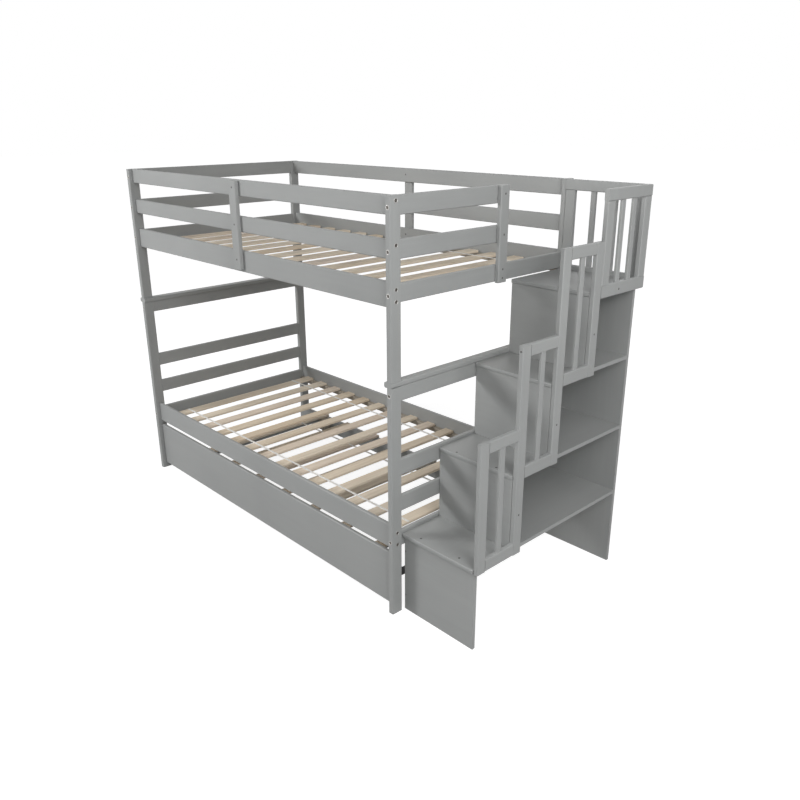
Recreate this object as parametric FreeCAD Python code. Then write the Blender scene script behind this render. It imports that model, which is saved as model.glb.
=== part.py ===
import FreeCAD, Part
import math
import os

os.makedirs("parts", exist_ok=True)
V = FreeCAD.Vector

# Millimetres. X runs along the bed towards the staircase, Y from front to back
# and Z up. The origin is on the floor under the middle of the whole piece.

# Bed frame
bed_length = 1985.0
bed_width = 1060.0
bed_height = 1665.0
post_thick = 26.0
post_wide = 52.0
post_ease = 3.0

# Cap planks across the ends, between the post halves
cap_bottom = 976.0
cap_thick = 22.0
cap_overhang = 13.0
cap_round = 7.0
post_pin_radius = 5.0
post_pin_seat = 24.0
pin_clearance = 0.4

# Rails
rail_thick = 18.0
rail_ease = 3.0
guard_rail_deep = 68.0
mid_rail_drop = 219.0
side_rail_inset = 19.0
upper_side_drop = 393.0
upper_side_deep = 94.0
lower_side_bottom = 292.0
lower_side_deep = 102.0
end_rail_inset = 4.0
end_rail_deep = 68.0
low_end_drop = 373.0
joint_rail_deep = 59.0
end_rail_1_bottom = 611.0
end_rail_2_bottom = 456.0
bottom_end_bottom = 302.0
end_tenon = 12.0
tenon_shoulder = 4.0

# Lapped stiles of the upper guard
stile_wide = 55.0
stile_thick = 18.0
stile_drop = 13.0
stile_top_gap = 4.0
entry_stile_wide = 51.0
entry_stile_front = 566.0
stile_lap = 3.0

# Bed bolts, drawn as bars with flat sides
bar_sides = 6
bolt_radius = 3.0
bolt_head_radius = 6.0
bolt_head_thick = 4.0
bolt_sink = 5.0
bolt_grip = 34.0
bolt_clearance = 0.5
side_bolt_inset = 25.0
guard_bolt_rise = 50.0
end_bolt_rise = 28.0

# Slats
slat_count = 14
slat_wide = 58.0
slat_thick = 12.0
slat_inset = 53.5
slat_ease = 2.0
slat_end_gap = 2.0
ledger_wide = 22.0
ledger_deep = 25.0
lower_ledger_rise = 7.0
upper_ledger_rise = 2.0
ribbon_wide = 12.0
ribbon_thick = 1.0
ribbon_inset = 165.0

# Staircase
stair_wide = 370.0
stair_front_gap = 1.0
stair_back_gap = 56.0
step_going = 205.5
first_step_top = 357.0
platform_drop = 2.0
tread_thick = 16.0
tread_round = 4.0
panel_thick = 15.0
panel_ease = 1.0
first_nosing = 14.0
nosing = 5.0
shelf_housing = 5.0

# Stepped guard beside the treads
guard_thick = 20.0
guard_ease = 3.0
guard_stile_wide = 46.0
guard_drop = 3.0
guard_high = 518.0
guard_top_deep = 44.0
guard_bottom_deep = 50.0
guard_slat_wide = 25.0
guard_slat_thick = 12.0
guard_tenon = 10.0
guard_slat_seat = 8.0

# Guards round the platform
platform_guard_drop = 13.0
platform_guard_start = 47.0

# Ties between staircase and bed
tie_head_radius = 9.0
tie_head_thick = 3.0
tie_grip = 14.0
tie_front_inset = 116.0
tie_back_inset = 89.0
tie_rise = 22.0
bracket_thick = 2.5
bracket_bottom = 166.0
bracket_high = 37.0

# Trundle
trundle_face_inset = 20.0
trundle_side_gap = 2.0
trundle_back_gap = 5.0
trundle_bottom = 30.0
trundle_face_high = 238.0
trundle_frame_high = 98.0
trundle_slat_count = 7
trundle_slat_inset = 224.5
trundle_ribbon_inset = 211.5

# Casters
wheel_radius = 25.0
wheel_wide = 18.0
wheel_ease = 3.0
wheel_sides = 24
axle_radius = 3.0
axle_clearance = 0.06
axle_head_radius = 5.0
axle_head_thick = 1.5
fork_gap = 1.0
fork_thick = 2.5
fork_long = 26.0
fork_drop = 9.0
fork_plate_long = 44.0
fork_plate_wide = 46.0
wheel_top_gap = 5.0
block_wide = 50.0

# Edges of the bed and of the staircase, in the row's frame
overall_length = cap_overhang + bed_length + stair_wide + guard_thick
bed_right = overall_length / 2 - guard_thick - stair_wide
bed_left = bed_right - bed_length
bed_middle = (bed_left + bed_right) / 2
bed_front = -bed_width / 2
bed_back = bed_width / 2
cap_top = cap_bottom + cap_thick
rail_left = bed_left + post_thick
rail_right = bed_right - post_thick
stair_right = bed_right + stair_wide
stair_back = bed_back - stair_back_gap
back_panel_front = stair_back - panel_thick
guard_right = stair_right + guard_thick
top_rail_bottom = bed_height - guard_rail_deep
mid_rail_bottom = bed_height - mid_rail_drop
upper_side_bottom = bed_height - upper_side_drop
low_end_bottom = bed_height - low_end_drop
slat_pitch = (rail_right - rail_left - 2 * slat_inset - slat_wide) / (slat_count - 1)
step_rise = (low_end_bottom - platform_drop - first_step_top) / 3


def from_side(side, near, far):
    """Limits in Y of what lies near to far inwards from the front or the back."""
    if side == "front":
        return (bed_front + near, bed_front + far)
    return (bed_back - far, bed_back - near)


def from_end(end, near, far):
    """Limits in X of what lies near to far inwards from the left or right posts' faces."""
    if end == "left":
        return (bed_left + near, bed_left + far)
    return (bed_right - far, bed_right - near)


def block(x, y, z):
    return Part.makeBox(x[1] - x[0], y[1] - y[0], z[1] - z[0], V(x[0], y[0], z[0]))


def edges_along(shape, axis):
    """The straight edges of a shape that run along one axis."""
    return [
        edge for edge in shape.Edges
        if edge.Curve.TypeId == "Part::GeomLine" and abs(edge.tangentAt(edge.FirstParameter)[axis]) > 0.999
    ]


def board(x, y, z, ease=rail_ease):
    """A board or panel whose four long edges are eased with a chamfer."""
    spans = [x[1] - x[0], y[1] - y[0], z[1] - z[0]]
    shape = block(x, y, z)
    return shape.makeChamfer(min(ease, 0.3 * min(spans)), edges_along(shape, spans.index(max(spans))))


def rod(radius, start, end):
    """A round rod between two points."""
    run = end - start
    return Part.makeCylinder(radius, run.Length, start, run)


def bar(radius, start, end):
    """A bar between two points whose flat sides lie at the radius."""
    run = end - start
    turn = FreeCAD.Rotation(V(0, 0, 1), run)
    corner = radius / math.cos(math.pi / bar_sides)
    angles = [2 * math.pi * n / bar_sides for n in range(bar_sides + 1)]
    ring = [start + turn.multVec(V(corner * math.cos(a), corner * math.sin(a), 0)) for a in angles]
    return Part.Face(Part.makePolygon(ring)).extrude(run)


def cut_all(shape, tools):
    return shape.cut(tools) if tools else shape


def save(node, *shapes):
    whole = shapes[0] if len(shapes) == 1 else Part.makeCompound(list(shapes))
    whole.exportStep("parts/" + node + ".step")


# Bed bolts. Each sits in a sunk hole in a post's outer face and grips a rail's end.
class Bolt:
    def __init__(self, face, inward, through):
        self.face = face
        self.inward = inward
        self.through = through

    def at(self, depth):
        return self.face + self.inward * depth

    def solid(self):
        seat = bolt_sink
        head = bar(bolt_head_radius, self.at(seat - bolt_head_thick), self.at(seat))
        return head.fuse(bar(bolt_radius, self.at(seat), self.at(self.through + bolt_grip)))

    def hole(self):
        sunk = bar(bolt_head_radius + bolt_clearance, self.face, self.at(bolt_sink))
        depth = self.through + bolt_grip + bolt_clearance
        return sunk.fuse(bar(bolt_radius + bolt_clearance, self.at(bolt_sink), self.at(depth)))


def inward_x(end):
    return V(1, 0, 0) if end == "left" else V(-1, 0, 0)


def inward_y(side):
    return V(0, 1, 0) if side == "front" else V(0, -1, 0)


side_rail_y = {
    side: sum(from_side(side, side_rail_inset, side_rail_inset + rail_thick)) / 2
    for side in ("front", "back")
}
end_rail_x = {
    end: sum(from_end(end, end_rail_inset, end_rail_inset + rail_thick)) / 2
    for end in ("left", "right")
}
outer_x = {"left": bed_left, "right": bed_right}
outer_y = {"front": bed_front, "back": bed_back}

upper_side_heights = [
    top_rail_bottom + guard_bolt_rise,
    mid_rail_bottom + guard_bolt_rise,
    upper_side_bottom + side_bolt_inset,
    upper_side_bottom + upper_side_deep - side_bolt_inset,
]
lower_side_heights = [
    lower_side_bottom + side_bolt_inset,
    lower_side_bottom + lower_side_deep - side_bolt_inset,
]
joint_rail_bottom = cap_bottom - joint_rail_deep
upper_end_heights = [
    top_rail_bottom + end_bolt_rise,
    mid_rail_bottom + end_bolt_rise,
    low_end_bottom + end_bolt_rise,
]
lower_end_heights = [
    joint_rail_bottom + end_bolt_rise,
    bottom_end_bottom + end_bolt_rise,
]


def post_bolts(end, side, level):
    """The bolts of one post half. The entry leaves out two at the back of the right end."""
    side_heights = upper_side_heights if level == "upper" else lower_side_heights
    end_heights = upper_end_heights if level == "upper" else lower_end_heights
    if (end, side, level) == ("right", "back", "upper"):
        end_heights = [low_end_bottom + end_bolt_rise]
    bolts = [
        Bolt(V(outer_x[end], side_rail_y[side], z), inward_x(end), post_thick)
        for z in side_heights
    ]
    bolts += [
        Bolt(V(end_rail_x[end], outer_y[side], z), inward_y(side), post_wide)
        for z in end_heights
    ]
    return bolts


places = [
    (end, side, level)
    for end in ("left", "right") for side in ("front", "back") for level in ("lower", "upper")
]
bolts_of = {place: post_bolts(*place) for place in places}
all_bolts = [bolt for place in places for bolt in bolts_of[place]]
bolt_holes = [bolt.hole() for bolt in all_bolts]


def drilled(shape):
    """The shape with the bolt holes that reach it."""
    return cut_all(shape, [hole for hole in bolt_holes if shape.BoundBox.intersect(hole.BoundBox)])


# Steel pins join the post halves through the cap planks.
def pin_ends(end, side):
    x = sum(from_end(end, 0, post_thick)) / 2
    y = sum(from_side(side, 0, post_wide)) / 2
    return V(x, y, cap_bottom - post_pin_seat), V(x, y, cap_top + post_pin_seat)


def post_pin(end, side):
    return bar(post_pin_radius, *pin_ends(end, side))


def pin_hole(end, side):
    return bar(post_pin_radius + pin_clearance, *pin_ends(end, side))


# End rails
post_inner = post_wide
end_rail_y = (bed_front + post_inner, bed_back - post_inner)
tenoned_bottoms = [end_rail_1_bottom, end_rail_2_bottom]


def end_rail_span(end):
    return from_end(end, end_rail_inset, end_rail_inset + rail_thick)


def tenon_box(end, bottom):
    """The tongue that passes through a rail and stands out at both of its ends."""
    x = end_rail_span(end)
    return block(
        (x[0] + tenon_shoulder, x[1] - tenon_shoulder),
        (end_rail_y[0] - end_tenon, end_rail_y[1] + end_tenon),
        (bottom + tenon_shoulder, bottom + end_rail_deep - tenon_shoulder),
    )


def end_rail(end, bottom, deep=end_rail_deep, y=end_rail_y):
    return drilled(board(end_rail_span(end), y, (bottom, bottom + deep)))


def tenoned_rail(end, bottom):
    return end_rail(end, bottom).fuse(tenon_box(end, bottom)).removeSplitter()


def lower_end_rails(end):
    rails = [end_rail(end, joint_rail_bottom, joint_rail_deep), end_rail(end, bottom_end_bottom)]
    return rails + [tenoned_rail(end, bottom) for bottom in tenoned_bottoms]


def upper_end_rails(end):
    """The right end's top and middle rails stop at the entry stile."""
    y = end_rail_y if end == "left" else (end_rail_y[0], bed_front + entry_stile_front + entry_stile_wide)
    return [
        end_rail(end, top_rail_bottom, guard_rail_deep, y),
        end_rail(end, mid_rail_bottom, guard_rail_deep, y),
        end_rail(end, low_end_bottom),
    ]


# Posts
def post(end, side, level):
    z = (0.0, cap_bottom) if level == "lower" else (cap_top, bed_height)
    shape = board(from_end(end, 0, post_thick), from_side(side, 0, post_wide), z, post_ease)
    tools = [pin_hole(end, side)]
    if level == "lower":
        tools += [tenon_box(end, bottom) for bottom in tenoned_bottoms]
    return drilled(shape.cut(tools))


def cap_plank(end):
    """A plank with rounded edges. The right one is flush with the posts on the staircase's side."""
    outer = -cap_overhang if end == "left" else 0
    x = from_end(end, outer, post_thick + cap_overhang)
    plank = block(x, (bed_front, bed_back), (cap_bottom, cap_top))
    plank = plank.makeFillet(cap_round, edges_along(plank, 1))
    return plank.cut([pin_hole(end, side) for side in ("front", "back")])


# Side rails and the guards of the upper bunk
def side_rail(side, bottom, deep):
    y = from_side(side, side_rail_inset, side_rail_inset + rail_thick)
    return drilled(board((rail_left, rail_right), y, (bottom, bottom + deep)))


def side_stile(side):
    y = from_side(side, side_rail_inset - stile_thick, side_rail_inset)
    x = (bed_middle - stile_wide / 2, bed_middle + stile_wide / 2)
    z = (upper_side_bottom + stile_drop, bed_height - stile_top_gap)
    return board(x, y, z)


def entry_stile():
    x = (bed_right - end_rail_inset, bed_right - end_rail_inset + guard_thick)
    y = (bed_front + entry_stile_front, bed_front + entry_stile_front + entry_stile_wide)
    return board(x, y, (low_end_bottom - stile_lap, bed_height))


# Slats, their ledgers and the ribbons over them
def ledger(side, bottom):
    inner = side_rail_inset + rail_thick
    y = from_side(side, inner, inner + ledger_wide)
    return board((rail_left, rail_right), y, (bottom, bottom + ledger_deep), panel_ease)


def slat_middles(count, pitch):
    return [bed_middle + (n - (count - 1) / 2) * pitch for n in range(count)]


def slat(middle, y, bottom):
    x = (middle - slat_wide / 2, middle + slat_wide / 2)
    return board(x, y, (bottom, bottom + slat_thick), slat_ease)


def bunk_slats(bottom):
    inset = side_rail_inset + rail_thick + slat_end_gap
    y = (bed_front + inset, bed_back - inset)
    return [slat(x, y, bottom) for x in slat_middles(slat_count, slat_pitch)]


def ribbon(middles, y, bottom):
    x = (middles[0] - slat_wide / 2, middles[-1] + slat_wide / 2)
    return block(x, (y - ribbon_wide / 2, y + ribbon_wide / 2), (bottom, bottom + ribbon_thick))


def bunk_ribbons(slat_bottom):
    middles = slat_middles(slat_count, slat_pitch)
    return [
        ribbon(middles, y, slat_bottom + slat_thick)
        for y in (bed_front + ribbon_inset, bed_back - ribbon_inset)
    ]


# Staircase. Steps are counted from one at the floor, and step four is the platform.
def tread_front(step):
    return bed_front + post_wide + stair_front_gap + (step - 1) * step_going


def tread_top(step):
    return first_step_top + (step - 1) * step_rise


def tread_bottom(step):
    return tread_top(step) - tread_thick


stair_x = (bed_right, stair_right)


def tread(step):
    """A tread that runs back as a shelf, its nose rounded and its rear edge in a groove."""
    y = (tread_front(step), back_panel_front + shelf_housing)
    shape = block(stair_x, y, (tread_bottom(step), tread_top(step)))
    nose = [e for e in edges_along(shape, 0) if abs(e.CenterOfMass.y - tread_front(step)) < 1e-6]
    return shape.makeFillet(tread_round, nose)


def platform():
    shape = block(stair_x, (tread_front(4), stair_back), (tread_bottom(4), tread_top(4)))
    nose = [e for e in edges_along(shape, 0) if abs(e.CenterOfMass.y - tread_front(4)) < 1e-6]
    return shape.makeFillet(tread_round, nose)


def riser_front(step):
    return tread_front(step) + (first_nosing if step == 1 else nosing)


def riser(step):
    bottom = 0.0 if step == 1 else tread_top(step - 1)
    y = (riser_front(step), riser_front(step) + panel_thick)
    return board(stair_x, y, (bottom, tread_bottom(step)), panel_ease)


def back_panel():
    panel = board(stair_x, (back_panel_front, stair_back), (0.0, tread_bottom(4)), panel_ease)
    return panel.cut([tread(step) for step in (1, 2, 3)])


# Tie bolts hold the side panels to the end rails, with a spacer round each.
tie_places = [
    (y, z)
    for y in (riser_front(3) + panel_thick + tie_front_inset, back_panel_front - tie_back_inset)
    for z in (end_rail_1_bottom + tie_rise, joint_rail_bottom + tie_rise)
]


def tie_bolt(y, z):
    head_face = bed_right + panel_thick
    head = bar(tie_head_radius, V(head_face, y, z), V(head_face + tie_head_thick, y, z))
    return head.fuse(bar(bolt_radius, V(head_face, y, z), V(bed_right - tie_grip, y, z)))


def tie_hole(y, z):
    end = V(bed_right - tie_grip - bolt_clearance, y, z)
    return bar(bolt_radius + bolt_clearance, V(bed_right + panel_thick, y, z), end)


def tie_spacer(y, z):
    spacer = bar(tie_head_radius, V(bed_right - end_rail_inset, y, z), V(bed_right, y, z))
    return spacer.cut(tie_hole(y, z))


tie_holes = [tie_hole(y, z) for y, z in tie_places]


def side_panel(step):
    """The panel that closes the shelf space behind the riser over a tread."""
    x = (bed_right, bed_right + panel_thick)
    y = (riser_front(step + 1) + panel_thick, back_panel_front)
    return block(x, y, (tread_top(step), tread_bottom(step + 1))).cut(tie_holes)


def corner_bracket():
    """An angle of steel strip behind the front post and beside the front panel's edge."""
    post_back = bed_front + post_wide
    outline = Part.makePolygon([
        V(bed_right, post_back, bracket_bottom),
        V(bed_right, riser_front(1) + panel_thick, bracket_bottom),
        V(bed_right - bracket_thick, riser_front(1) + panel_thick, bracket_bottom),
        V(bed_right - bracket_thick, post_back + bracket_thick, bracket_bottom),
        V(bed_right - post_thick, post_back + bracket_thick, bracket_bottom),
        V(bed_right - post_thick, post_back, bracket_bottom),
        V(bed_right, post_back, bracket_bottom),
    ])
    return Part.Face(outline).extrude(V(0, 0, bracket_high))


# Stepped guard. Guard k stands beside tread k, between stiles k and k + 1.
guard_x = (stair_right, guard_right)
guard_mid = (stair_right + guard_right) / 2
guard_tongue_x = (stair_right + tenon_shoulder, guard_right - tenon_shoulder)
guard_slat_x = (guard_mid - guard_slat_thick / 2, guard_mid + guard_slat_thick / 2)


def guard_bottom(step):
    return tread_bottom(step) - guard_drop


def guard_top(step):
    return guard_bottom(step) + guard_high


def stile_y(step):
    front = tread_front(step) + nosing
    return (front, front + guard_stile_wide)


def rail_y(step):
    return (stile_y(step)[1], stile_y(step + 1)[0])


def guard_rail_heights(step):
    low = guard_bottom(step)
    high = guard_top(step)
    return [(low, low + guard_bottom_deep), (high - guard_top_deep, high)]


def guard_tongue(step, z):
    y = rail_y(step)
    return block(
        guard_tongue_x,
        (y[0] - guard_tenon, y[1] + guard_tenon),
        (z[0] + tenon_shoulder, z[1] - tenon_shoulder),
    )


def guard_slat(step):
    middle = sum(rail_y(step)) / 2
    y = (middle - guard_slat_wide / 2, middle + guard_slat_wide / 2)
    low, high = guard_rail_heights(step)
    return board(guard_slat_x, y, (low[1] - guard_slat_seat, high[0] + guard_slat_seat), slat_ease)


def guard_rails(step):
    rails = []
    for z in guard_rail_heights(step):
        rail = board(guard_x, rail_y(step), z, guard_ease).fuse(guard_tongue(step, z)).removeSplitter()
        rails.append(rail.cut(guard_slat(step)))
    return rails


def guard_stile(number):
    """A stile reaches from the guard below it to the top of its own."""
    bottom = guard_bottom(max(number - 1, 1))
    top = guard_top(min(number, 3))
    tongues = [
        guard_tongue(step, z)
        for step in (number - 1, number) if 1 <= step <= 3
        for z in guard_rail_heights(step)
    ]
    return board(guard_x, stile_y(number), (bottom, top), guard_ease).cut(tongues)


# Guards round the platform: the long rails run over and under the stiles.
platform_guard_z = (tread_bottom(4) - platform_guard_drop, bed_height)
side_guard_y = (tread_front(4) + nosing + platform_guard_start, stair_back + guard_thick)
back_guard_y = (stair_back, stair_back + guard_thick)


def spread(low, high, wide, count):
    """Places for slats that leave equal gaps between two stiles."""
    gap = (high - low - count * wide) / (count + 1)
    starts = [low + gap + n * (wide + gap) for n in range(count)]
    return [(start, start + wide) for start in starts]


def framed_guard(place, run):
    """Two long rails, two stiles and two slats. place turns limits along, across and up into a board."""
    low = (platform_guard_z[0], platform_guard_z[0] + guard_bottom_deep)
    high = (platform_guard_z[1] - guard_top_deep, platform_guard_z[1])
    full = (0.0, guard_thick)
    thin = ((guard_thick - guard_slat_thick) / 2, (guard_thick + guard_slat_thick) / 2)
    tongue = (tenon_shoulder, guard_thick - tenon_shoulder)
    left = (run[0], run[0] + guard_stile_wide)
    right = (run[1] - guard_stile_wide, run[1])
    stiles = []
    tongues = []
    for span in (left, right):
        inset = (span[0] + tenon_shoulder, span[1] - tenon_shoulder)
        tongues.append(block(*place(inset, tongue, (low[1] - guard_tenon, high[0] + guard_tenon))))
        stile = board(*place(span, full, (low[1], high[0])), guard_ease)
        stiles.append(stile.fuse(tongues[-1]).removeSplitter())
    slats = [
        board(*place(span, thin, (low[1] - guard_slat_seat, high[0] + guard_slat_seat)), slat_ease)
        for span in spread(left[1], right[0], guard_slat_wide, 2)
    ]
    rails = [board(*place(run, full, z), guard_ease).cut(tongues + slats) for z in (low, high)]
    return rails + stiles + slats


def side_guard_place(along, across, up):
    return (guard_x[0] + across[0], guard_x[0] + across[1]), along, up


def back_guard_place(along, across, up):
    return along, (back_guard_y[0] + across[0], back_guard_y[0] + across[1]), up


# Trundle
trundle_x = (rail_left + trundle_side_gap, rail_right - trundle_side_gap)
trundle_face_y = (bed_front + trundle_face_inset, bed_front + trundle_face_inset + rail_thick)
trundle_back = bed_back - post_wide - trundle_back_gap
trundle_frame_top = trundle_bottom + trundle_frame_high
trundle_frame_z = (trundle_bottom, trundle_frame_top)
trundle_end_inset = trundle_slat_inset + (slat_wide - rail_thick) / 2
end_board_x = {
    "left": (trundle_x[0] + trundle_end_inset, trundle_x[0] + trundle_end_inset + rail_thick),
    "right": (trundle_x[1] - trundle_end_inset - rail_thick, trundle_x[1] - trundle_end_inset),
}
end_board_y = (trundle_face_y[1], trundle_back - rail_thick)
trundle_ledger_z = (trundle_frame_top - ledger_deep, trundle_frame_top)
trundle_slat_room = trundle_x[1] - trundle_x[0] - 2 * trundle_slat_inset - slat_wide
trundle_middles = slat_middles(trundle_slat_count, trundle_slat_room / (trundle_slat_count - 1))


def trundle_ledger():
    x = (end_board_x["left"][1], end_board_x["right"][0])
    return board(x, (trundle_face_y[1], trundle_face_y[1] + ledger_wide), trundle_ledger_z, panel_ease)


def trundle_slats():
    y = (trundle_face_y[1] + slat_end_gap, trundle_back)
    return [slat(x, y, trundle_frame_top) for x in trundle_middles]


def trundle_ribbons():
    front = trundle_face_y[0] + trundle_ribbon_inset
    return [
        ribbon(trundle_middles, y, trundle_frame_top + slat_thick)
        for y in (front, trundle_back - trundle_ribbon_inset)
    ]


# Casters stand under the corner blocks, with their axles along X.
block_y = {
    "front": (trundle_face_y[1] + ledger_wide, trundle_face_y[1] + ledger_wide + block_wide),
    "back": (trundle_back - rail_thick - block_wide, trundle_back - rail_thick),
}
block_x = {
    "left": (end_board_x["left"][1], end_board_x["left"][1] + block_wide),
    "right": (end_board_x["right"][0] - block_wide, end_board_x["right"][0]),
}
fork_top = 2 * wheel_radius + wheel_top_gap + fork_thick
corners = [(side, end) for side in ("front", "back") for end in ("left", "right")]


def corner_block(side, end):
    return board(block_x[end], block_y[side], (fork_top, trundle_frame_top), panel_ease)


def axle_middle(side, end):
    return V(sum(block_x[end]) / 2, sum(block_y[side]) / 2, wheel_radius)


def axle_ends(side, end, reach):
    middle = axle_middle(side, end)
    return middle - V(reach, 0, 0), middle + V(reach, 0, 0)


fork_half = wheel_wide / 2 + fork_gap + fork_thick


def caster_fork(side, end):
    """A folded steel fork: two tapered cheeks under a screwed plate."""
    middle = axle_middle(side, end)
    inner = fork_half - fork_thick
    bottom = wheel_radius - fork_drop
    cheeks = []
    for start in (middle.x - fork_half, middle.x + inner):
        cheek = block(
            (start, start + fork_thick),
            (middle.y - fork_long / 2, middle.y + fork_long / 2),
            (bottom, fork_top - fork_thick),
        )
        feet = [e for e in edges_along(cheek, 0) if abs(e.CenterOfMass.z - bottom) < 1e-6]
        cheeks.append(cheek.makeChamfer(fork_drop, feet))
    plate = block(
        (middle.x - fork_plate_wide / 2, middle.x + fork_plate_wide / 2),
        (middle.y - fork_plate_long / 2, middle.y + fork_plate_long / 2),
        (fork_top - fork_thick, fork_top),
    )
    fork = plate.fuse(cheeks).removeSplitter()
    return fork.cut(bar(axle_radius + axle_clearance, *axle_ends(side, end, fork_half)))


def caster_axle(side, end):
    """A rivet through both cheeks, with a flat head on each side."""
    shank = axle_ends(side, end, fork_half)
    tips = axle_ends(side, end, fork_half + axle_head_thick)
    heads = [bar(axle_head_radius, tips[0], shank[0]), bar(axle_head_radius, shank[1], tips[1])]
    return rod(axle_radius, *shank).fuse(heads).removeSplitter()


def caster_wheel(side, end):
    """A wheel with many flat sides and eased rims, on a round bore. One corner is at the floor."""
    near, far = axle_ends(side, end, wheel_wide / 2)
    angles = [2 * math.pi * n / wheel_sides - math.pi / 2 for n in range(wheel_sides + 1)]
    ring = [near + V(0, wheel_radius * math.cos(a), wheel_radius * math.sin(a)) for a in angles]
    disc = Part.Face(Part.makePolygon(ring)).extrude(far - near)
    rims = [edge for edge in disc.Edges if abs(edge.tangentAt(edge.FirstParameter).x) < 0.001]
    wheel = disc.makeChamfer(wheel_ease, rims)
    return wheel.cut(rod(axle_radius + axle_clearance, near, far))


# The bed frame
for end, side, level in places:
    save("post_" + level + "_" + side + "_" + end, post(end, side, level))
save("cap_planks", cap_plank("left"), cap_plank("right"))
for side in ("front", "back"):
    guard_pair = [side_rail(side, bottom, guard_rail_deep) for bottom in (top_rail_bottom, mid_rail_bottom)]
    save("upper_" + side + "_guard_rails", *guard_pair)
    save("upper_" + side + "_side_rail", side_rail(side, upper_side_bottom, upper_side_deep))
    save("upper_" + side + "_stile", side_stile(side))
    save("lower_" + side + "_side_rail", side_rail(side, lower_side_bottom, lower_side_deep))
for end in ("left", "right"):
    save("upper_" + end + "_end_rails", *upper_end_rails(end))
save("lower_left_end_rails", *lower_end_rails("left"))
save("lower_right_end_rails", *[rail.cut(tie_holes) for rail in lower_end_rails("right")])
save("entry_stile", entry_stile())
save("frame_bolts", *[bolt.solid() for bolt in all_bolts])
save("post_pins", *[post_pin(end, side) for end in ("left", "right") for side in ("front", "back")])

# Bunk bases
lower_ledger_bottom = lower_side_bottom + lower_ledger_rise
upper_ledger_bottom = upper_side_bottom + upper_ledger_rise
ledger_bottoms = [lower_ledger_bottom, upper_ledger_bottom]
save("slat_ledgers", *[ledger(side, bottom) for bottom in ledger_bottoms for side in ("front", "back")])
save("lower_slats", *bunk_slats(lower_ledger_bottom + ledger_deep))
save("upper_slats", *bunk_slats(upper_ledger_bottom + ledger_deep))
save("slat_ribbons", *[strip for bottom in ledger_bottoms for strip in bunk_ribbons(bottom + ledger_deep)])

# The staircase
save("stair_front_panel", riser(1))
for step in (2, 3, 4):
    save("stair_riser_" + str(step), riser(step))
for step in (1, 2, 3):
    save("stair_tread_" + str(step), tread(step))
save("stair_platform", platform())
save("stair_back_panel", back_panel())
save("stair_side_panels", *[side_panel(step) for step in (1, 2, 3)])
save("stair_tie_bolts", *[tie_bolt(y, z) for y, z in tie_places])
save("stair_tie_spacers", *[tie_spacer(y, z) for y, z in tie_places])
save("stair_bracket", corner_bracket())
save("stair_guard_stiles", *[guard_stile(number) for number in (1, 2, 3, 4)])
save("stair_guard_rails", *[rail for step in (1, 2, 3) for rail in guard_rails(step)])
save("stair_guard_slats", *[guard_slat(step) for step in (1, 2, 3)])
save("platform_side_guard", *framed_guard(side_guard_place, side_guard_y))
save("platform_back_guard", *framed_guard(back_guard_place, stair_x))

# The trundle
trundle_face_z = (trundle_bottom, trundle_bottom + trundle_face_high)
save("trundle_front_panel", board(trundle_x, trundle_face_y, trundle_face_z))
save("trundle_back_board", board(trundle_x, (trundle_back - rail_thick, trundle_back), trundle_frame_z))
trundle_ends = [board(end_board_x[end], end_board_y, trundle_ledger_z) for end in ("left", "right")]
save("trundle_end_boards", *trundle_ends)
save("trundle_ledger", trundle_ledger())
save("trundle_corner_blocks", *[corner_block(*corner) for corner in corners])
save("trundle_slats", *trundle_slats())
save("trundle_ribbons", *trundle_ribbons())
save("caster_forks", *[caster_fork(*corner) for corner in corners])
save("caster_axles", *[caster_axle(*corner) for corner in corners])
for side, end in corners:
    save("caster_wheel_" + side + "_" + end, caster_wheel(side, end))
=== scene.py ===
import math

import bmesh
import bpy
from mathutils import Matrix, Vector


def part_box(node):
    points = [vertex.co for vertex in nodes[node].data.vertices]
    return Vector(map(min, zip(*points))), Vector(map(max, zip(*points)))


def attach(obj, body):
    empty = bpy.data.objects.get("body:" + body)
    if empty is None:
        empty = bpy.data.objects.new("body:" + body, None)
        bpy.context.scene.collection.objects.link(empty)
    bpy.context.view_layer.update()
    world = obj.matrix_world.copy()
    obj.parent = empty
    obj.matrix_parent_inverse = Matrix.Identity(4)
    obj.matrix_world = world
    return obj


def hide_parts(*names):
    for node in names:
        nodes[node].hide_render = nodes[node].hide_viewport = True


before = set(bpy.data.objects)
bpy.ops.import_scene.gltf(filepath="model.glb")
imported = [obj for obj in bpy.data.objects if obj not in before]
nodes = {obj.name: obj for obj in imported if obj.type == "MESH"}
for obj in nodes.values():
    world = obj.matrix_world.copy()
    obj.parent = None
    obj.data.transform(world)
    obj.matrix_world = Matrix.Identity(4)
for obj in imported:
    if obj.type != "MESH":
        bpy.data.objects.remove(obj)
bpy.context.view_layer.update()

MM = 0.001
BED_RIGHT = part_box("post_lower_front_right")[1][0]
BED_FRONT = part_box("post_lower_front_right")[0][1]

# Camera, as found from the edges of the posts, rails and treads (metres, degrees)
CAMERA_PLACE = Vector((2.7752, -2.3413, 1.9190))
CAMERA_YAW = 46.74
CAMERA_PITCH = -20.17
CAMERA_ROLL = -0.23
LENS_MM = 34.94
SENSOR_MM = 36.0

# World strength. The floor that the camera sees glows from FLOOR_LIFT's first strength to its second
# between the two distances of FLOOR_REACH (metres from the middle).
WORLD_LIGHT = 0.09
FLOOR_LIFT = (0.88, 1.0)
FLOOR_REACH = (1.5, 3.2)
FLOOR_HALF = 40.0
WHITE = (1.0, 1.0, 1.0, 1.0)
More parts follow.
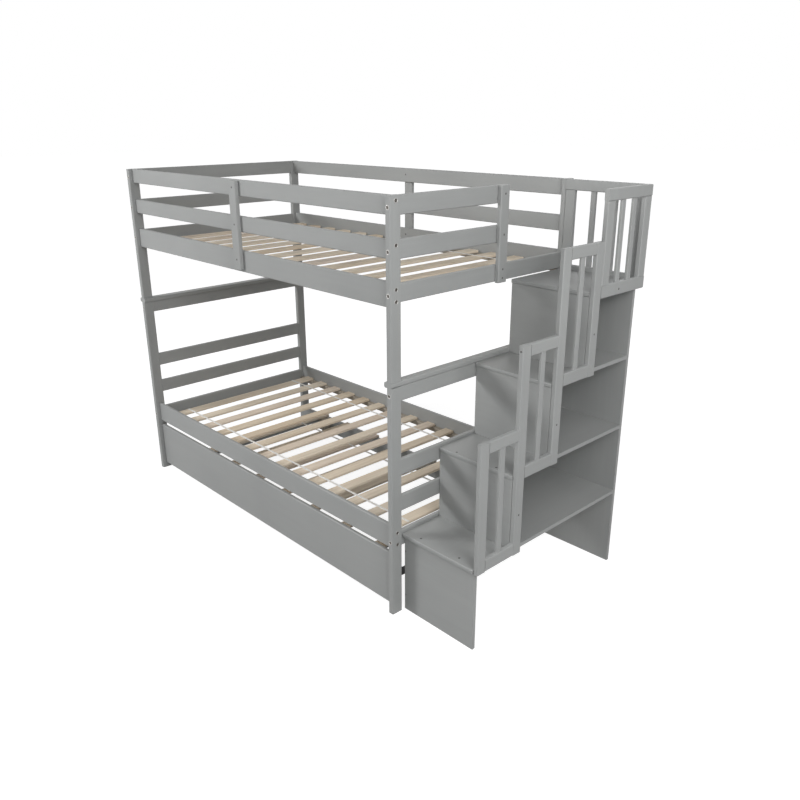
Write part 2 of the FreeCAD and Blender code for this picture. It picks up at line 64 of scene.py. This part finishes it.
# Lamps: name, place, aim and size (metres), power (watts)
LAMPS = [
    ("key", (-2.47, -3.57, 2.69), (0.2, 0.0, 0.8), 1.2, 115.0),
    ("side", (3.6, -1.4, 2.4), (0.7, 0.0, 0.8), 1.5, 67.0),
    ("front", (3.0, -3.4, 3.0), (0.2, 0.0, 0.8), 3.0, 50.0),
    ("high", (3.2, 0.4, 3.8), (0.4, 0.0, 0.8), 2.5, 22.0),
    ("back", (-1.2, 4.2, 3.4), (0.0, 0.0, 0.6), 3.0, 28.0),
]


def camera_matrix():
    yaw, pitch, roll = (math.radians(a) for a in (CAMERA_YAW, CAMERA_PITCH, CAMERA_ROLL))
    ahead = Vector((-math.sin(yaw) * math.cos(pitch), math.cos(yaw) * math.cos(pitch), math.sin(pitch)))
    level = Vector((math.cos(yaw), math.sin(yaw), 0.0))
    upright = level.cross(ahead)
    right = level * math.cos(roll) + upright * math.sin(roll)
    up = upright * math.cos(roll) - level * math.sin(roll)
    turn = Matrix((right, up, -ahead)).transposed()
    return Matrix.Translation(CAMERA_PLACE) @ turn.to_4x4()


def add_camera():
    data = bpy.data.cameras.new("camera")
    data.lens = LENS_MM
    data.sensor_width = SENSOR_MM
    data.clip_end = 60.0
    camera = bpy.data.objects.new("camera", data)
    bpy.context.scene.collection.objects.link(camera)
    camera.matrix_world = camera_matrix()
    bpy.context.scene.camera = camera


class Graph:
    """A material's node tree, with short calls for what the materials share."""

    def __init__(self, name):
        self.material = bpy.data.materials.new(name)
        self.material.use_nodes = True
        self.tree = self.material.node_tree
        self.shader = self.tree.nodes["Principled BSDF"]

    def add(self, kind, **settings):
        node = self.tree.nodes.new(kind)
        for key, value in settings.items():
            setattr(node, key, value)
        return node

    def link(self, start, end):
        self.tree.links.new(start, end)

    def place(self, scale):
        """Coordinates in the part's own frame, multiplied by scale along X, Y and Z."""
        source = self.add("ShaderNodeTexCoord")
        mapping = self.add("ShaderNodeMapping")
        mapping.inputs["Scale"].default_value = scale
        self.link(source.outputs["Object"], mapping.inputs["Vector"])
        return mapping.outputs["Vector"]

    def noise(self, vector, scale, detail=3.0, roughness=0.5):
        node = self.add("ShaderNodeTexNoise")
        node.inputs["Scale"].default_value = scale
        node.inputs["Detail"].default_value = detail
        node.inputs["Roughness"].default_value = roughness
        self.link(vector, node.inputs["Vector"])
        return node.outputs["Fac"]

    def ramp(self, fac, stops):
        node = self.add("ShaderNodeValToRGB")
        ramp = node.color_ramp
        while len(ramp.elements) < len(stops):
            ramp.elements.new(0.5)
        for element, (position, colour) in zip(ramp.elements, stops):
            element.position = position
            element.color = (*colour, 1.0)
        self.link(fac, node.inputs["Fac"])
        return node.outputs["Color"]

    def math(self, operation, first, second=0.0, third=0.0):
        node = self.add("ShaderNodeMath", operation=operation)
        for socket, value in zip(node.inputs, (first, second, third)):
            if isinstance(value, (int, float)):
                socket.default_value = value
            else:
                self.link(value, socket)
        return node.outputs["Value"]

    def mix(self, blend, fac, first, second):
        node = self.add("ShaderNodeMix", data_type="RGBA", blend_type=blend)
        for name, value in (("Factor_Float", fac), ("A_Color", first), ("B_Color", second)):
            socket = next(s for s in node.inputs if s.identifier == name)
            if isinstance(value, float):
                socket.default_value = value
            elif isinstance(value, tuple):
                socket.default_value = (*value, 1.0)
            else:
                self.link(value, socket)
        return next(s for s in node.outputs if s.identifier == "Result_Color")

    def bump(self, height, strength, distance):
        node = self.add("ShaderNodeBump")
        node.inputs["Strength"].default_value = strength
        node.inputs["Distance"].default_value = distance
        self.link(height, node.inputs["Height"])
        self.link(node.outputs["Normal"], self.shader.inputs["Normal"])

    def set(self, **values):
        for name, value in values.items():
            self.shader.inputs[name.replace("_", " ")].default_value = value


# Grey satin paint over timber: the grain runs along one axis and barely shows.
PAINT_DARK = (0.312, 0.319, 0.316)
PAINT_LIGHT = (0.348, 0.356, 0.351)
GRAIN_SCALE = {"x": (2.5, 40.0, 40.0), "y": (40.0, 2.5, 40.0), "z": (40.0, 40.0, 2.5)}


def paint(grain):
    graph = Graph("paint_" + grain)
    place = graph.place((1.0, 1.0, 1.0))
    along = graph.place(GRAIN_SCALE[grain])
    clouds = graph.noise(place, 2.2, 2.0)
    streaks = graph.noise(along, 1.0, 5.0, 0.6)
    speckle = graph.noise(place, 420.0, 2.0)
    tone = graph.math("MULTIPLY_ADD", streaks, 0.35, graph.math("MULTIPLY", clouds, 0.65))
    colour = graph.ramp(tone, [(0.36, PAINT_DARK), (0.64, PAINT_LIGHT)])
    graph.link(colour, graph.shader.inputs["Base Color"])
    roughness = graph.math("MULTIPLY_ADD", streaks, 0.16, 0.40)
    graph.link(roughness, graph.shader.inputs["Roughness"])
    height = graph.math("MULTIPLY_ADD", streaks, 1.0, graph.math("MULTIPLY", speckle, 0.30))
    graph.bump(height, 0.12, 0.0004)
    graph.set(Specular_IOR_Level=0.35)
    return graph.material


# Bare planed pine. Each slat takes its own tone from its place along the bed. The ledgers and corner
# blocks are darker, which is painted shade for the shadow of the slats on them, and have one tone
# each, because ONE_TONE_PITCH (metres) is longer than the bed.
SLAT_HALF_WIDTH = 0.029
ONE_TONE_PITCH = 5.0
LEDGER_SHADE_TONES = [(0.0, (0.40, 0.36, 0.31)), (1.0, (0.44, 0.40, 0.34))]
PINE_TONES = [
    (0.0, (0.92, 0.81, 0.66)),
    (0.25, (0.95, 0.86, 0.73)),
    (0.5, (0.89, 0.77, 0.61)),
    (0.75, (0.94, 0.83, 0.72)),
    (1.0, (0.84, 0.71, 0.54)),
]


def pine(name, pitch, first, seed, tones=PINE_TONES):
    graph = Graph(name)
    place = graph.place((1.0, 1.0, 1.0))
    split = graph.add("ShaderNodeSeparateXYZ")
    graph.link(place, split.inputs["Vector"])
    from_first = graph.math("SUBTRACT", split.outputs["X"], first)
    index = graph.math("ROUND", graph.math("DIVIDE", from_first, pitch))
    chance = graph.add("ShaderNodeTexWhiteNoise", noise_dimensions="1D")
    graph.link(graph.math("ADD", index, seed), chance.inputs["W"])
    tone = graph.ramp(chance.outputs["Value"], tones)
    shifted = graph.add("ShaderNodeVectorMath", operation="ADD")
    offset = graph.add("ShaderNodeCombineXYZ")
    graph.link(graph.math("MULTIPLY", chance.outputs["Value"], 7.0), offset.inputs["Y"])
    graph.link(graph.math("MULTIPLY", chance.outputs["Value"], 3.0), offset.inputs["X"])
    graph.link(graph.place((60.0, 3.0, 60.0)), shifted.inputs[0])
    graph.link(offset.outputs["Vector"], shifted.inputs[1])
    figure = graph.noise(shifted.outputs["Vector"], 1.0, 6.0, 0.62)
    wide = graph.noise(shifted.outputs["Vector"], 0.22, 2.0, 0.5)
    lines = graph.ramp(figure, [(0.35, (0.72, 0.66, 0.58)), (0.60, (1.0, 1.0, 1.0))])
    bands = graph.ramp(wide, [(0.38, (0.84, 0.80, 0.76)), (0.62, (1.0, 1.0, 1.0))])
    colour = graph.mix("MULTIPLY", 0.45, graph.mix("MULTIPLY", 0.45, tone, lines), bands)
    graph.link(colour, graph.shader.inputs["Base Color"])
    graph.link(graph.math("MULTIPLY_ADD", figure, 0.2, 0.55), graph.shader.inputs["Roughness"])
    graph.bump(figure, 0.35, 0.0005)
    graph.set(Specular_IOR_Level=0.3)
    return graph.material


def metal(name, colour, roughness):
    graph = Graph(name)
    scratches = graph.noise(graph.place((90.0, 600.0, 90.0)), 1.0, 4.0, 0.7)
    tone = graph.ramp(scratches, [(0.3, tuple(0.8 * c for c in colour)), (0.7, colour)])
    graph.link(tone, graph.shader.inputs["Base Color"])
    graph.link(graph.math("MULTIPLY_ADD", scratches, 0.2, roughness), graph.shader.inputs["Roughness"])
    graph.set(Metallic=1.0)
    return graph.material


def plastic(name, colour, roughness):
    graph = Graph(name)
    grain = graph.noise(graph.place((1.0, 1.0, 1.0)), 900.0, 3.0)
    tone = graph.ramp(grain, [(0.3, tuple(0.85 * c for c in colour)), (0.7, colour)])
    graph.link(tone, graph.shader.inputs["Base Color"])
    graph.link(graph.math("MULTIPLY_ADD", grain, 0.1, roughness), graph.shader.inputs["Roughness"])
    graph.bump(grain, 0.2, 0.0002)
    return graph.material


def webbing():
    """Woven polyester tape: ribs across the tape and fine threads along it."""
    graph = Graph("webbing")
    weave = graph.add("ShaderNodeTexWave", bands_direction="X")
    weave.inputs["Scale"].default_value = 260.0
    graph.link(graph.place((1.0, 1.0, 1.0)), weave.inputs["Vector"])
    threads = graph.add("ShaderNodeTexWave", bands_direction="Y")
    threads.inputs["Scale"].default_value = 420.0
    graph.link(graph.place((1.0, 1.0, 1.0)), threads.inputs["Vector"])
    height = graph.math("MULTIPLY", weave.outputs["Fac"], threads.outputs["Fac"])
    # The colour follows the weave's height, so its low places are darker: painted shade in the grooves
    # between the ribs.
    colour = graph.ramp(height, [(0.0, (0.90, 0.88, 0.84)), (0.6, (0.96, 0.94, 0.90))])
    graph.link(colour, graph.shader.inputs["Base Color"])
    graph.bump(height, 0.5, 0.0003)
    graph.set(Roughness=0.85)
    return graph.material


def set_material(node, material):
    for slot in nodes[node].material_slots:
        slot.material = material


def camera_rays(tree):
    """One for what the camera sees directly, in a reflection or through glass, else zero."""
    rays = tree.nodes.new("ShaderNodeLightPath")
    total = rays.outputs["Is Camera Ray"]
    for name in ("Is Glossy Ray", "Is Transmission Ray"):
        either = tree.nodes.new("ShaderNodeMath")
        either.operation = "MAXIMUM"
        tree.links.new(total, either.inputs[0])
        tree.links.new(rays.outputs[name], either.inputs[1])
        total = either.outputs["Value"]
    return total


def backdrop_material():
    """A mid-grey floor that takes the object's shadow. What the camera sees of it is lifted to white."""
    graph = Graph("backdrop")
    clouds = graph.noise(graph.place((1.0, 1.0, 1.0)), 0.7, 2.0)
    tone = graph.ramp(clouds, [(0.3, (0.34, 0.34, 0.34)), (0.7, (0.36, 0.36, 0.36))])
    graph.link(tone, graph.shader.inputs["Base Color"])
    graph.set(Roughness=0.95, Specular_IOR_Level=0.0, Emission_Color=WHITE)
    reach = graph.add("ShaderNodeVectorMath", operation="LENGTH")
    graph.link(graph.place((1.0, 1.0, 1.0)), reach.inputs[0])
    far = graph.add("ShaderNodeMapRange")
    for socket, value in zip(("From Min", "From Max", "To Min", "To Max"), FLOOR_REACH + FLOOR_LIFT):
        far.inputs[socket].default_value = value
    graph.link(reach.outputs["Value"], far.inputs["Value"])
    lift = graph.math("MULTIPLY", camera_rays(graph.tree), far.outputs["Result"])
    graph.link(lift, graph.shader.inputs["Emission Strength"])
    return graph.material


def add_floor():
    mesh = bpy.data.meshes.new("floor")
    corners = [(x * FLOOR_HALF, y * FLOOR_HALF, 0) for x, y in ((-1, -1), (1, -1), (1, 1), (-1, 1))]
    mesh.from_pydata(corners, [], [(0, 1, 2, 3)])
    floor = bpy.data.objects.new("floor", mesh)
    bpy.context.scene.collection.objects.link(floor)
    mesh.materials.append(backdrop_material())


def add_lamp(name, place, aim, size, power):
    data = bpy.data.lights.new(name, "AREA")
    data.size = size
    data.energy = power
    lamp = bpy.data.objects.new(name, data)
    bpy.context.scene.collection.objects.link(lamp)
    lamp.location = place
    lamp.rotation_euler = (Vector(aim) - Vector(place)).to_track_quat("-Z", "Y").to_euler()


def add_world():
    world = bpy.data.worlds.new("studio")
    bpy.context.scene.world = world
    world.use_nodes = True
    tree = world.node_tree
    light = tree.nodes["Background"]
    light.inputs["Color"].default_value = WHITE
    light.inputs["Strength"].default_value = WORLD_LIGHT
    seen = tree.nodes.new("ShaderNodeBackground")
    seen.inputs["Color"].default_value = WHITE
    seen.inputs["Strength"].default_value = 1.0
    blend = tree.nodes.new("ShaderNodeMixShader")
    tree.links.new(camera_rays(tree), blend.inputs["Fac"])
    tree.links.new(light.outputs["Background"], blend.inputs[1])
    tree.links.new(seen.outputs["Background"], blend.inputs[2])
    tree.links.new(blend.outputs["Shader"], tree.nodes["World Output"].inputs["Surface"])


add_camera()
add_world()
add_floor()
for lamp in LAMPS:
    add_lamp(*lamp)

paints = {grain: paint(grain) for grain in GRAIN_SCALE}
for name in nodes:
    low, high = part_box(name)
    spans = [high[i] - low[i] for i in range(3)]
    set_material(name, paints["xyz"[spans.index(max(spans))]])
set_material("stair_guard_rails", paints["y"])
for name in ("stair_guard_stiles", "stair_guard_slats"):
    set_material(name, paints["z"])
# The slats' pitch in metres, and a seed for their tones
bare = {"lower_slats": (0.136, 11), "upper_slats": (0.136, 57), "trundle_slats": (0.237, 23)}
for name, (pitch, seed) in bare.items():
    first_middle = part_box(name)[0][0] + SLAT_HALF_WIDTH
    set_material(name, pine("pine_" + name, pitch, first_middle, seed))
# The ledgers and corner blocks get the darker pine tones, which are painted shade.
for name in ("slat_ledgers", "trundle_ledger", "trundle_corner_blocks"):
    set_material(name, pine("pine_" + name, ONE_TONE_PITCH, 0.0, 3, LEDGER_SHADE_TONES))
for name in ("slat_ribbons", "trundle_ribbons"):
    set_material(name, webbing())
ZINC = (0.55, 0.54, 0.52)
zinc_nodes = ["frame_bolts", "post_pins", "stair_tie_bolts", "stair_tie_spacers"]
for name in zinc_nodes + ["caster_axles", "caster_forks"]:
    set_material(name, metal("zinc_" + name, ZINC, 0.35))
set_material("stair_bracket", plastic("black_bracket", (0.02, 0.02, 0.02), 0.45))
wheel_plastic = plastic("wheel_plastic", (0.03, 0.03, 0.03), 0.5)
for name in nodes:
    if name.startswith("caster_wheel"):
        set_material(name, wheel_plastic)


def in_photo_frame(x, y, z):
    """A point in metres from millimetres right of the bed, behind its front and over the floor."""
    return Vector((x / 1000 + BED_RIGHT, y / 1000 + BED_FRONT, z / 1000))


def finish_piece(name, mesh, material, body):
    bmesh.ops.recalc_face_normals(mesh, faces=mesh.faces)
    data = bpy.data.meshes.new(name)
    mesh.to_mesh(data)
    mesh.free()
    data.materials.append(material)
    piece = bpy.data.objects.new(name, data)
    bpy.context.scene.collection.objects.link(piece)
    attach(piece, body)
    return piece


def turned(mesh, profile, start, along, segments=24, closed=False):
    """Adds a turned form: rings of (distance, radius, sides) about an axis, where six sides make a socket.

    The last ring of a closed form joins its first. The others are capped at both ends.
    """
    turn = Vector(along).to_track_quat("Z", "Y")
    rings = []
    for distance, radius, sides in profile:
        ring = []
        for n in range(segments):
            angle = 2 * math.pi * n / segments
            reach = radius
            if sides == 6:
                reach /= math.cos((angle + math.pi / 6) % (math.pi / 3) - math.pi / 6)
            point = Vector((reach * math.cos(angle), reach * math.sin(angle), distance))
            ring.append(mesh.verts.new(Vector(start) + turn @ point))
        rings.append(ring)
    following = rings[1:] + rings[:1] if closed else rings[1:]
    for first, second in zip(rings, following):
        for n in range(segments):
            face = mesh.faces.new((first[n], first[n - 1], second[n - 1], second[n]))
            face.smooth = True
    if not closed:
        mesh.faces.new(rings[0])
        mesh.faces.new(list(reversed(rings[-1])))


def solids_of(name):
    """The vertices of each separate solid in a node, as lists of places."""
    mesh = bmesh.new()
    mesh.from_mesh(nodes[name].data)
    bmesh.ops.remove_doubles(mesh, verts=mesh.verts, dist=1e-6)
    mesh.verts.index_update()
    seen = set()
    found = []
    for first in mesh.verts:
        if first.index in seen:
            continue
        seen.add(first.index)
        stack = [first]
        places = []
        while stack:
            vert = stack.pop()
            places.append(vert.co.copy())
            for edge in vert.link_edges:
                other = edge.other_vert(vert)
                if other.index not in seen:
                    seen.add(other.index)
                    stack.append(other)
        found.append(places)
    mesh.free()
    return found


def bolt_line(places):
    """Head centre, direction to the tip and length of a bolt that lies along one axis."""
    low = Vector([min(p[i] for p in places) for i in range(3)])
    high = Vector([max(p[i] for p in places) for i in range(3)])
    axis = max(range(3), key=lambda i: high[i] - low[i])
    middle = (low + high) / 2
    spread = []
    for end in (low[axis], high[axis]):
        rim = [p for p in places if abs(p[axis] - end) < 1e-5]
        spread.append(max((p - middle).length_squared - (p[axis] - middle[axis]) ** 2 for p in rim))
    head = middle.copy()
    tip = middle.copy()
    head[axis], tip[axis] = (low[axis], high[axis]) if spread[0] > spread[1] else (high[axis], low[axis])
    return head, (tip - head).normalized(), (tip - head).length


SHANK_RADIUS = 2.95 * MM
SOCKET_RADIUS = 2.4 * MM
COLLAR_SEGMENTS = 28
COLLAR = [
    (0.6 * MM, 6.3 * MM, 0), (-1.0 * MM, 6.5 * MM, 0), (-1.5 * MM, 7.2 * MM, 0),
    (-1.45 * MM, 8.2 * MM, 0), (-1.0 * MM, 8.6 * MM, 0), (-0.9 * MM, 8.5 * MM, 0),
]


def add_bolts(node, name, head_radius, head_thick, collar):
    """Socket-head bolts, if asked with a turned collar in the mouth of each hole."""
    bolts = bmesh.new()
    collars = bmesh.new()
    for places in solids_of(node):
        head, along, length = bolt_line(places)
        profile = [
            (2.6 * MM, SOCKET_RADIUS, 6), (0.3 * MM, SOCKET_RADIUS, 6), (0.0, 2.7 * MM, 6),
            (0.0, head_radius - 0.6 * MM, 0), (0.5 * MM, head_radius, 0), (head_thick, head_radius, 0),
            (head_thick, SHANK_RADIUS, 0), (length - 1.2 * MM, SHANK_RADIUS, 0), (length, 2.0 * MM, 0),
        ]
        turned(bolts, profile, head, along)
        if collar:
            turned(collars, COLLAR, head, along, COLLAR_SEGMENTS, closed=True)
    piece = finish_piece(name, bolts, dark_steel, "bed")
    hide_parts(node)
    if collar:
        finish_piece(name + "_collars", collars, bright_zinc, "bed")
    else:
        collars.free()


def add_screws():
    """Small dark screws, as (x, y, z, facing, radius) in the millimetres of in_photo_frame. Their near-black
    colour is partly the screws' own and partly painted shade of the holes they sit in.
    """
    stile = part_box("upper_front_stile")
    stile_x = (stile[0][0] + stile[1][0]) / 2 * 1000 - BED_RIGHT * 1000
    spots = [(stile_x, 1, z, "-y", 4.0) for z in (1633, 1478, 1327)]
    spots += [(stile_x, 1023, z, "-y", 4.0) for z in (1634, 1480, 1334)]
    spots += [(16, 591.5, z, "+x", 4.0) for z in (1633, 1478, 1342, 1307)]
    spots += [(79, 80, 357, "+z", 4.5), (279, 83, 357, "+z", 4.5)]
    spots += [(81, 274, 668, "+z", 4.5), (281, 277, 668, "+z", 4.5)]
    spots += [(390, 286.5, 505, "+x", 4.0), (390, 492, 813, "+x", 4.0), (390, 697.5, 1128, "+x", 4.0)]
    spots += [(390, 843, 1283, "+x", 4.0), (380, 263.5, 1146, "-y", 4.0)]
    spots += [(4.5, 67, 272, "-y", 3.2), (4.5, 67, 69, "-y", 3.2)]
    facing = {"-y": (0, 1, 0), "+x": (-1, 0, 0), "+z": (0, 0, -1)}
    mesh = bmesh.new()
    for x, y, z, side, radius in spots:
        r = radius * MM
        profile = [
            (0.5 * MM, 0.38 * r, 6), (-0.55 * MM, 0.38 * r, 6), (-0.7 * MM, 0.46 * r, 0),
            (-0.6 * MM, 0.75 * r, 0), (-0.2 * MM, r, 0), (0.6 * MM, r, 0),
        ]
        turned(mesh, profile, in_photo_frame(x, y, z), facing[side])
    finish_piece("screw_heads", mesh, black_oxide, "bed")


STAPLE_LONG = 11 * MM
STAPLE_SEGMENTS = 8
STAPLE = [
    (0.0, 0.2 * MM, 0), (0.5 * MM, 0.55 * MM, 0),
    (10.5 * MM, 0.55 * MM, 0), (STAPLE_LONG, 0.2 * MM, 0),
]
RIBBON_REACH = 2 * MM


def add_staples(name, slat_node, ribbon_node, body):
    """A wire staple over the ribbon at each slat."""
    mesh = bmesh.new()
    for slat in solids_of(slat_node):
        middle = (min(p.x for p in slat) + max(p.x for p in slat)) / 2
        top = max(p.z for p in slat)
        for ribbon in solids_of(ribbon_node):
            surface = max(p.z for p in ribbon)
            if not 0 < surface - top < RIBBON_REACH:
                continue
            across = (min(p.y for p in ribbon) + max(p.y for p in ribbon)) / 2
            start = Vector((middle - STAPLE_LONG / 2, across, surface + 0.1 * MM))
            turned(mesh, STAPLE, start, (1, 0, 0), STAPLE_SEGMENTS)
    finish_piece(name, mesh, bright_zinc, body)


WHEEL_SEGMENTS = 64


def add_wheel(node):
    """A moulded wheel: rounded tyre, dished web and hub. The rings on its sides are in millimetres."""
    low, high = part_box(node)
    half = (high[0] - low[0]) / 2 / MM
    middle = Vector([(low[i] + high[i]) / 2 for i in range(3)])
    r = (high[2] - low[2]) / 2 / MM
    side = [
        (half - 0.2, 3.2), (half, 3.6), (half, 7.4), (half - 0.6, 8.0), (half - 3.2, 8.6), (half - 3.4, 9.4),
        (half - 3.4, r - 7.2), (half - 3.0, r - 6.4), (half - 0.7, r - 5.8), (half - 0.2, r - 5.0),
        (half - 0.2, r - 3.2), (half - 0.9, r - 1.4), (half - 2.3, r - 0.35), (half - 4.0, r - 0.02),
    ]
    profile = [(-d * MM, radius * MM, 0) for d, radius in side]
    profile += [(d * MM, radius * MM, 0) for d, radius in reversed(side)]
    mesh = bmesh.new()
    turned(mesh, profile, middle, (1, 0, 0), WHEEL_SEGMENTS, closed=True)
    name = node.replace("caster_wheel", "turned_wheel")
    body = node.replace("caster_", "")
    piece = finish_piece(name, mesh, wheel_plastic, body)
    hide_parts(node)


dark_steel = metal("dark_steel", (0.15, 0.14, 0.13), 0.42)
# Near black: the screws' own dark colour together with painted shade of their holes.
black_oxide = plastic("black_oxide", (0.045, 0.042, 0.040), 0.45)
bright_zinc = metal("bright_zinc", ZINC, 0.30)
add_bolts("frame_bolts", "bed_bolts", 6.0 * MM, 4.0 * MM, True)
add_bolts("stair_tie_bolts", "tie_bolts", 9.0 * MM, 3.0 * MM, False)
add_screws()
add_staples("bunk_staples", "lower_slats", "slat_ribbons", "bed")
add_staples("upper_staples", "upper_slats", "slat_ribbons", "bed")
add_staples("trundle_staples", "trundle_slats", "trundle_ribbons", "trundle")
for name in list(nodes):
    if name.startswith("caster_wheel"):
        add_wheel(name)

view = bpy.context.scene.view_settings
view.view_transform = "Standard"
